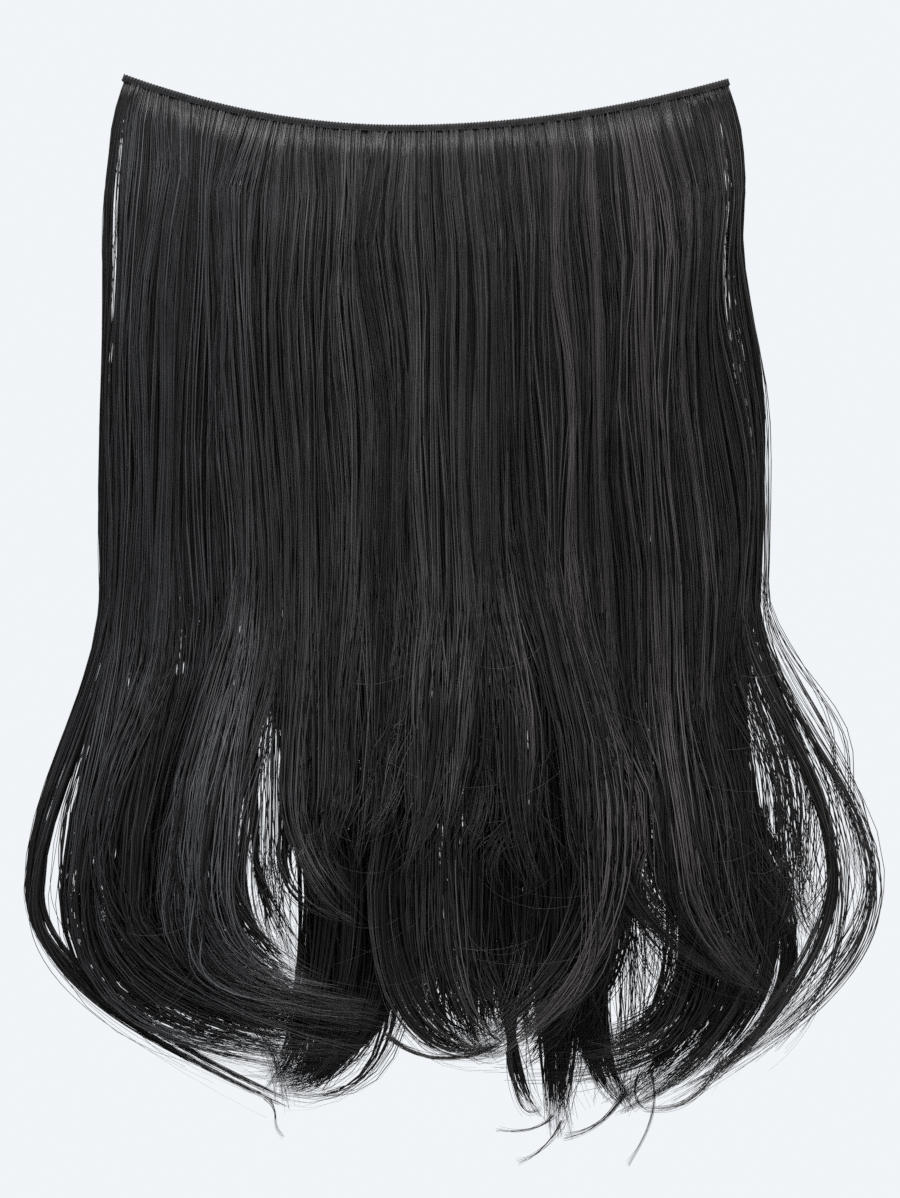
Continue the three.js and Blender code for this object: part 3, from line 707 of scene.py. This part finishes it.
def hair_paths():
    """Every hair's path, radii and tone, which hairs lie deep inside, and each hair's group.

    A hair keeps its place in the section of its lock, drawn towards the middle of its clump. Above the
    bend it moves over to its place in the fall."""
    table, groups = lock_table()
    hairs = np.round(table["width"] * HAIRS_PER_WIDTH * table["fill"]).astype(int)
    owner = np.repeat(np.arange(len(groups)), hairs)
    count = len(owner)
    clumps = np.maximum(3, np.round(table["width"] / CLUMP_WIDTH)).astype(int)
    first_clump = np.concatenate([[0], np.cumsum(clumps)[:-1]])
    clump = first_clump[owner] + np.floor(RNG.random(count) * clumps[owner]).astype(int)
    clump_place = disc_places(clumps.sum())
    place = mix(disc_places(count), clump_place[clump], CLUMP_PULLS[0])
    light = np.clip(table["shade"], 0, 1)
    bundle_share = np.where(table["fill"] < THIN_FILL, 0, mix(*BUNDLE_SHARES, light))
    bundle = RNG.random(count) < bundle_share[owner]
    place = np.where(bundle[:, None], BUNDLE_PLACE * disc_places(count), place)

    def clump_spread():
        return RNG.standard_normal(clumps.sum())[clump]

    def hair_spread():
        return RNG.standard_normal(count)

    def clump_wave(limits):
        turns = RNG.uniform(*limits, clumps.sum())[clump][:, None] * stage + clump_spread()[:, None]
        return np.sin(2 * np.pi * turns)

    lock = spread_locks(table, groups, owner, place[:, 0], clump_spread, hair_spread)
    across = weft_shares(lock["fall_x"] - place[:, 0] * lock["width"] / 2, bundle)
    depth = spread_depths(across, lock["fall_y"] / NEAR_SPAN + NEAR_SHARE * place[:, 1])
    depth = np.where(bundle, BUNDLE_DEPTH * depth, depth)
    lock = {name: values[:, None] for name, values in lock.items()}

    stage = hair_stages(count)
    length = 1 - lock["ragged"] * RNG.random((count, 1)) ** RAGGED_POWER
    length = length * np.where(bundle, BUNDLE_LENGTH, 1)[:, None]
    fall = np.clip(stage, 0, 1)
    swing = np.clip(stage - 1, 0, 1)
    curl = np.clip(stage - 2, 0, 1) * length

    root_x = mix(FALL["left"][0], FALL["right"][0], across)[:, None]
    root_z = weft_z(root_x) - ROOT_SINK
    line = lock_lines(lock, fall, swing, curl, root_z)
    along = unit(np.gradient(line, axis=1))
    side = unit(np.cross(Y_AXIS, along))
    normal = np.cross(along, side)
    share = mix(1, lock["blunt"], curl ** TAPER)
    thin = table["fill"][owner] < THIN_FILL
    pull = CLUMP_PULLS[1] * eased(stage, CLUMP_STAGES) * np.where(thin, THIN_PULL, 1)[:, None]
    sideways = mix(place[:, :1], clump_place[clump][:, :1], pull) * lock["width"] / 2 * share
    outward = mix(place[:, 1:], clump_place[clump][:, 1:], pull) * lock["thick"] / 2 * share
    weave = clump_wave(CLUMP_WAVE_TURNS)
    wave = CLUMP_WAVE * clump_spread()[:, None] * weave * eased(stage, WAVE_STAGES)
    outward = outward * mix(FLAT_SHARE, 1, smooth(swing))
    paths = line + (sideways + wave)[..., None] * side + outward[..., None] * normal

    z = paths[..., 2]
    drop = np.maximum(root_z - z, 0)
    depth = np.broadcast_to(depth[:, None], fall.shape)
    spread = np.repeat(across[:, None], fall.shape[1], axis=1)
    dense = np.where(thin, 0.0, 1.0)[:, None]
    fall_x, fall_y, bunch_tone = fall_places(spread, depth, drop, z, ~bundle, dense)
    gather = eased(stage, GATHER_STAGES)
    paths[..., 0] = mix(fall_x + line[..., 0] - lock["fall_x"], paths[..., 0], gather)
    paths[..., 1] = mix(fall_y + line[..., 1] - lock["fall_y"], paths[..., 1], gather)
    stray = np.where((RNG.random(count) < STRAY_SHARE) & ~bundle, 1.0, 0.0)[:, None]
    wander(paths, stage, stray)

    radius = np.clip(HAIR_RADIUS + HAIR_RADIUS_SPREAD * hair_spread()[:, None], *HAIR_RADIUS_LIMITS)
    radius = np.where(bundle[:, None], BUNDLE_RADIUS, radius * mix(1, STRAY_THICKNESS, stray))
    radii = radius * mix(1, HAIR_SWELL, eased(stage, SWELL_STAGES))
    radii = radii * mix(1, HAIR_POINT, eased(stage, POINT_STAGES))
    tone = TONE_MIDDLE + TONE_CLUMP * clump_spread() + TONE_HAIR * hair_spread() + bunch_tone
    # painted light: each lock's shade darkens its hairs as painted shade or lightens them as a painted
    # highlight
    shade = mix(np.clip(lock["shade"], *FALL_PAINTED_SHADES), lock["shade"], eased(stage, PAINTED_SHADE_STAGES))
    # the inner bundles are painted black, as shade
    tone = np.where(bundle, 0, tone)[:, None] * shade
    # painted sheen that rises and falls along each clump
    tone = tone * (1 + PAINTED_SHEEN * clump_wave(PAINTED_SHEEN_TURNS))
    # painted shade that darkens each hair towards the weft
    tone = tone * mix(ROOT_PAINTED_SHADE, 1, smooth(drop / ROOT_SHADE_FADE))
    deep = bundle | (lock["shade"][:, 0] <= DEEP_PAINTED_SHADE)
    return paths, radii, np.clip(tone, 0, 1), deep, groups[owner]


def wisp_paths():
    """Hairs of the wisps: cubic curves past two handles, their points spread about their wisp's own."""
    table = dict(zip(WISP_COLUMNS, np.array(list(WISP_ROWS.values()), float).T))
    owner = np.repeat(np.arange(len(WISP_ROWS)), table["hairs"].astype(int))
    points = []
    for name in ("start", "out", "in", "end"):
        flat = np.stack([table[name + "_x"], table["y"], table[name + "_z"]], axis=-1)[owner]
        stray = WISP_SPREAD * table["spread"][owner][:, None] * RNG.standard_normal((len(owner), 3))
        points.append(MM * (flat + stray))
    start, leave, arrive, end = [point[:, None] for point in points]
    step = np.linspace(0, 1, WISP_STEPS + 1)[None, :, None]
    rest = 1 - step
    handles = 3 * rest * step * (rest * leave + step * arrive)
    paths = rest ** 3 * start + handles + step ** 3 * end
    radii = WISP_RADIUS * mix(1, WISP_POINT, step[..., 0]) * np.ones((len(owner), 1))
    return paths, radii


def flyaway_paths(paths):
    """Single hairs that leave the curls: arcs from a point of a lock hair, their heading turned away
    from it by a random angle that then turns further along the way."""
    count = FLYAWAYS * FLYAWAY_TRIES
    parent = RNG.integers(0, len(paths), count)
    first = FALL_STEPS + int(SWING_STEPS * (FLYAWAY_STAGES[0] - 1))
    last = FALL_STEPS + SWING_STEPS + int(CURL_STEPS * (FLYAWAY_STAGES[1] - 2))
    point = RNG.integers(first, last, count)
    start = paths[parent, point]
    ahead = paths[parent, point + 1] - paths[parent, point - 1]
    heading = np.arctan2(ahead[:, 2], ahead[:, 0]) + FLYAWAY_TURN * RNG.standard_normal(count)
    bend = FLYAWAY_BEND * RNG.standard_normal(count)
    way = np.linspace(0, 1, FLYAWAY_STEPS + 1)[None, :]
    angle = heading[:, None] + bend[:, None] * way
    step = RNG.uniform(*FLYAWAY_LENGTHS, (count, 1)) / FLYAWAY_STEPS
    x = start[:, :1] + np.cumsum(step * np.cos(angle), axis=1)
    z = start[:, 2:] + np.cumsum(step * np.sin(angle), axis=1)
    y = start[:, 1:2] - FLYAWAY_PROUD * way * RNG.random((count, 1))
    inside = ((x > FLYAWAY_LEFT) & (x < FLYAWAY_RIGHT) & (z > FLYAWAY_LOW)).all(axis=1)
    kept = np.flatnonzero(inside)[:FLYAWAYS]
    radii = FLYAWAY_RADIUS * mix(1, FLYAWAY_POINT, way) * np.ones((len(kept), 1))
    return np.stack([x, y, z], axis=-1)[kept], radii


def weft_line(x):
    """Points on the weft's middle line and the directions up from it, square to its slope."""
    slope = (weft_z(x + SLOPE_STEP) - weft_z(x - SLOPE_STEP)) / (2 * SLOPE_STEP)
    middle = np.stack([x, np.zeros_like(x), weft_z(x)], axis=-1)
    up = unit(np.stack([-slope, np.zeros_like(x), np.ones_like(x)], axis=-1))
    return middle, up


def over_edge_thread():
    """A thread wound round the band: an ellipse about its middle line, with one turn in each pitch."""
    turns = WEFT_CHORD / STITCH_PITCH
    turn = np.linspace(0, turns, int(turns * STITCH_POINTS))
    x = WEFT_CHORD * (turn / turns - 0.5)
    middle, up = weft_line(x)
    angle = 2 * np.pi * turn
    high = (BAND_HEIGHT / 2 + STITCH_PROUD) * np.cos(angle)
    deep = (BAND_THICKNESS / 2 + STITCH_PROUD) * np.sin(angle)
    return middle + high[:, None] * up + deep[:, None] * Y_AXIS


def straight_seam(face, phase):
    """A thread along one face of the band, weaving up and down about its line as a sine."""
    links = WEFT_CHORD / CHAIN_PITCH
    link = np.linspace(0, links, int(links * CHAIN_POINTS))
    middle, up = weft_line(WEFT_CHORD * (link / links - 0.5))
    angle = 2 * np.pi * link + phase
    high = CHAIN_LOW + CHAIN_SWING * np.sin(angle)
    deep = face * (CHAIN_DEPTH + CHAIN_RELIEF * np.cos(angle))
    return middle + high[:, None] * up + deep[:, None] * Y_AXIS


def join(source, output, target, socket):
    """Links an output of one node to a socket of another in the same tree."""
    source.id_data.links.new(source.outputs[output], target.inputs[socket])


def set_values(node, values):
    """Puts values into the named sockets of a node."""
    for socket, value in values.items():
        node.inputs[socket].default_value = value


def new_group(name, inputs, outputs):
    """An empty node group with named sockets: type and value of each input, type of each output."""
    group = bpy.data.node_groups.new(name, "ShaderNodeTree")
    for socket, (kind, value) in inputs.items():
        group.interface.new_socket(socket, in_out="INPUT", socket_type=kind).default_value = value
    for socket, kind in outputs.items():
        group.interface.new_socket(socket, in_out="OUTPUT", socket_type=kind)
    return group, group.nodes.new("NodeGroupInput"), group.nodes.new("NodeGroupOutput")


def mottle_group():
    """Slow and fine noise over the surface, mixed and spread between a low and a high value."""
    group, given, result = new_group(
        "surface_mottle",
        {
            "Vector": ("NodeSocketVector", (0, 0, 0)),
            "Scale": ("NodeSocketFloat", 100.0),
            "Low": ("NodeSocketFloat", 0.0),
            "High": ("NodeSocketFloat", 1.0),
        },
        {"Value": "NodeSocketFloat"},
    )
    noise = group.nodes.new("ShaderNodeTexNoise")
    set_values(noise, {"Detail": MOTTLE_DETAIL})
    spread = group.nodes.new("ShaderNodeMapRange")
    set_values(spread, {"From Min": MOTTLE_SPAN[0], "From Max": MOTTLE_SPAN[1]})
    join(given, "Vector", noise, "Vector")
    join(given, "Scale", noise, "Scale")
    join(noise, "Fac", spread, "Value")
    join(given, "Low", spread, "To Min")
    join(given, "High", spread, "To Max")
    join(spread, "Result", result, "Value")
    return group


def fibre_group():
    """Colour of a fibre: dark to light by its tone, cooler on the piece's left, warmer on its right."""
    group, given, result = new_group(
        "fibre_tint",
        {
            "Tone": ("NodeSocketFloat", 0.5),
            "Dark": ("NodeSocketColor", FIBRE_DARK),
            "Cool": ("NodeSocketColor", FIBRE_COOL),
            "Warm": ("NodeSocketColor", FIBRE_WARM),
        },
        {"Colour": "NodeSocketColor"},
    )
    nodes = group.nodes
    place = nodes.new("ShaderNodeTexCoord")
    split = nodes.new("ShaderNodeSeparateXYZ")
    warmth = nodes.new("ShaderNodeMapRange")
    set_values(warmth, {"From Min": COOL_X, "From Max": WARM_X})
    light = nodes.new("ShaderNodeMix")
    light.data_type = "RGBA"
    shade = nodes.new("ShaderNodeMix")
    shade.data_type = "RGBA"
    join(place, "Object", split, "Vector")
    join(split, "X", warmth, "Value")
    join(warmth, "Result", light, "Factor")
    join(given, "Cool", light, "A")
    join(given, "Warm", light, "B")
    join(given, "Tone", shade, "Factor")
    join(given, "Dark", shade, "A")
    join(light, "Result", shade, "B")
    join(shade, "Result", result, "Colour")
    return group


def new_material(name):
    """An empty material, with its nodes and its shader."""
    material = bpy.data.materials.new(name)
    material.use_nodes = True
    nodes = material.node_tree.nodes
    return material, nodes, nodes["Principled BSDF"]


def add_group(nodes, group, values):
    """Places a node group in a material, with its own values in the named sockets."""
    node = nodes.new("ShaderNodeGroup")
    node.node_tree = group
    set_values(node, values)
    return node


def mottled_roughness(nodes, shader, mottle, values):
    """Varies a material's roughness over its surface by the mottle, read at the surface's own place."""
    place = nodes.new("ShaderNodeTexCoord")
    variation = add_group(nodes, mottle, values)
    join(place, "Object", variation, "Vector")
    join(variation, "Value", shader, "Roughness")
    return place


def hair_material(name, mottle, fibre, roughness, specular):
    """Smooth dark fibre whose tone changes from hair to hair and a little along each hair."""
    material, nodes, shader = new_material(name)
    place = mottled_roughness(nodes, shader, mottle, roughness)
    tone = nodes.new("ShaderNodeAttribute")
    tone.attribute_name = "tone"
    along = add_group(nodes, mottle, HAIR_TONE)
    join(place, "Object", along, "Vector")
    varied = nodes.new("ShaderNodeMath")
    varied.operation = "MULTIPLY"
    join(tone, "Fac", varied, 0)
    join(along, "Value", varied, 1)
    tint = add_group(nodes, fibre, {})
    join(varied, "Value", tint, "Tone")
    join(tint, "Colour", shader, "Base Color")
    set_values(shader, {"Specular IOR Level": specular})
    return material


def thread_material(mottle, fibre):
    """Matt twisted thread: a slow change of tone, and a fine twist that runs round the thread as bump."""
    material, nodes, shader = new_material("weft_thread")
    place = mottled_roughness(nodes, shader, mottle, THREAD_ROUGHNESS)
    tone = add_group(nodes, mottle, THREAD_TONE)
    tint = add_group(nodes, fibre, THREAD_COLOURS)
    join(place, "Object", tone, "Vector")
    join(tone, "Value", tint, "Tone")
    join(tint, "Colour", shader, "Base Color")
    twist = nodes.new("ShaderNodeTexWave")
    twist.wave_type = "BANDS"
    twist.bands_direction = "DIAGONAL"
    set_values(twist, {"Scale": TWIST_SCALE})
    bump = nodes.new("ShaderNodeBump")
    set_values(bump, {"Strength": TWIST_STRENGTH, "Distance": TWIST_DEPTH})
    join(place, "Object", twist, "Vector")
    join(twist, "Fac", bump, "Height")
    join(bump, "Normal", shader, "Normal")
    set_values(shader, {"Specular IOR Level": THREAD_SPECULAR})
    return material


def drifting_material(name, mottle, roughness, tone, colours):
    """A finish whose roughness drifts, and its colour between two colours, each by its own mottle."""
    material, nodes, shader = new_material(name)
    place = mottled_roughness(nodes, shader, mottle, roughness)
    drift = add_group(nodes, mottle, tone)
    colour = nodes.new("ShaderNodeMix")
    colour.data_type = "RGBA"
    set_values(colour, {"A": colours[0], "B": colours[1]})
    join(place, "Object", drift, "Vector")
    join(drift, "Value", colour, "Factor")
    join(colour, "Result", shader, "Base Color")
    return material, shader


def add_hair(mottle, fibre):
    """A piece of hairs for each group of locks, then the wisps and flyaways, in place of the solid."""
    outer = hair_material("dark_hair", mottle, fibre, OUTER_ROUGHNESS, OUTER_SPECULAR)
    inner = hair_material("inner_hair", mottle, fibre, INNER_ROUGHNESS, INNER_SPECULAR)
    paths, radii, tones, deep, groups = hair_paths()
    for name in LOCK_GROUPS:
        chosen = groups == name
        inside = deep[chosen].astype(int)
        cut = np.s_[chosen, :: 1 if name in FINE_GROUPS else FINE_STEPS]
        add_tubes(name, paths[cut], radii[cut], HAIR_SIDES, tones[cut], (outer, inner), inside)
    loose = {"hair_wisps": wisp_paths(), "hair_flyaways": flyaway_paths(paths[~deep, ::FINE_STEPS])}
    for name, (lines, sizes) in loose.items():
        tone = np.clip(LOOSE_TONE + TONE_HAIR * RNG.standard_normal((len(lines), 1)), 0, 1)
        inside = np.zeros(len(lines), int)
        add_tubes(name, lines, sizes, HAIR_SIDES, tone * np.ones_like(sizes), (outer,), inside)
    for name in (*LOCK_GROUPS, *loose):
        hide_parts("hair")


def dress(node, material):
    """Gives a carried-over solid its finish."""
    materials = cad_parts[node].data.materials
    materials.clear()
    materials.append(material)


def add_weft(mottle, fibre):
    """The stitches over the band and the seams along it, in the band's own thread."""
    material = thread_material(mottle, fibre)
    dress("weft_band", material)
    threads = {
        "weft_over_edge": [over_edge_thread()],
        "weft_seams": [straight_seam(face, phase) for face in (-1, 1) for phase in (0, np.pi)],
    }
    for name, paths in threads.items():
        paths = np.stack(paths)
        radii = np.full(paths.shape[:2], STITCH_RADIUS)
        tone = np.full(paths.shape[:2], TONE_MIDDLE)
        inside = np.zeros(len(paths), int)
        add_tubes(name, paths, radii, THREAD_SIDES, tone, (material,), inside)


def add_clips(mottle):
    """Satin black lacquer on the clips, with a faint unevenness in its gloss and colour."""
    lacquer, shader = drifting_material(
        "clip_lacquer", mottle, LACQUER_ROUGHNESS, LACQUER_TONE, LACQUER_COLOURS
    )
    set_values(shader, {"Coat Weight": LACQUER_COAT})
    for clip in [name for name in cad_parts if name.startswith("clip")]:
        dress(clip, lacquer)


def add_lamp(name, place, size, energy):
    """A square soft lamp turned towards the middle of the hair."""
    lamp = bpy.data.lights.new(name, "AREA")
    lamp.size = size
    lamp.energy = energy
    holder = add_object(name, lamp)
    holder.location = place
    aim = LAMP_AIM - np.array(place)
    tilt = np.arcsin(aim[2] / np.linalg.norm(aim))
    holder.rotation_euler = (np.pi / 2 + tilt, 0, np.arctan2(aim[1], aim[0]) - np.pi / 2)


def add_floor(mottle):
    """A flat round floor below the tips, matt and pale with a faint cloud in its colour."""
    angle = 2 * np.pi * np.arange(FLOOR_SIDES) / FLOOR_SIDES
    flat = FLOOR_RADIUS * np.stack([np.cos(angle), np.sin(angle)], axis=-1)
    rim = np.concatenate([flat, np.full((FLOOR_SIDES, 1), FLOOR_Z)], axis=1)
    material, _ = drifting_material("pale_floor", mottle, FLOOR_ROUGHNESS, FLOOR_TONE, FLOOR_COLOURS)
    mesh = bpy.data.meshes.new("floor")
    mesh.from_pydata(rim.tolist(), [], [list(range(FLOOR_SIDES))])
    mesh.materials.append(material)
    floor = add_object("floor", mesh)


def add_surround():
    """A pale surround, dimmer as a light than it looks."""
    world = bpy.data.worlds.new("pale_surround")
    world.use_nodes = True
    nodes = world.node_tree.nodes
    seen = nodes["Background"]
    set_values(seen, {"Color": SURROUND_SEEN})
    lit = nodes.new("ShaderNodeBackground")
    set_values(lit, {"Color": SURROUND_LIGHT, "Strength": SURROUND_STRENGTH})
    ray = nodes.new("ShaderNodeLightPath")
    blend = nodes.new("ShaderNodeMixShader")
    join(ray, "Is Camera Ray", blend, "Fac")
    join(lit, "Background", blend, 1)
    join(seen, "Background", blend, 2)
    join(blend, "Shader", nodes["World Output"], "Surface")
    bpy.context.scene.world = world


def set_picture():
    """Plain tones, and no smoothing over of single hairs and stitches."""
    bpy.context.scene.view_settings.view_transform = "Standard"
    bpy.context.scene.cycles.use_denoising = False


def add_camera():
    """A long lens straight in front of the hair."""
    camera = bpy.data.cameras.new("camera")
    camera.lens = LENS
    camera.sensor_width = SENSOR_WIDTH
    viewer = add_object("camera", camera)
    viewer.location = CAMERA_PLACE
    viewer.rotation_euler = (np.pi / 2, 0, 0)
    bpy.context.scene.camera = viewer


add_camera()
surface_mottle = mottle_group()
fibre_tint = fibre_group()
add_hair(surface_mottle, fibre_tint)
add_weft(surface_mottle, fibre_tint)
add_clips(surface_mottle)
add_floor(surface_mottle)
for lamp_name, lamp_values in LAMPS.items():
    add_lamp(lamp_name, *lamp_values)
add_surround()
set_picture()
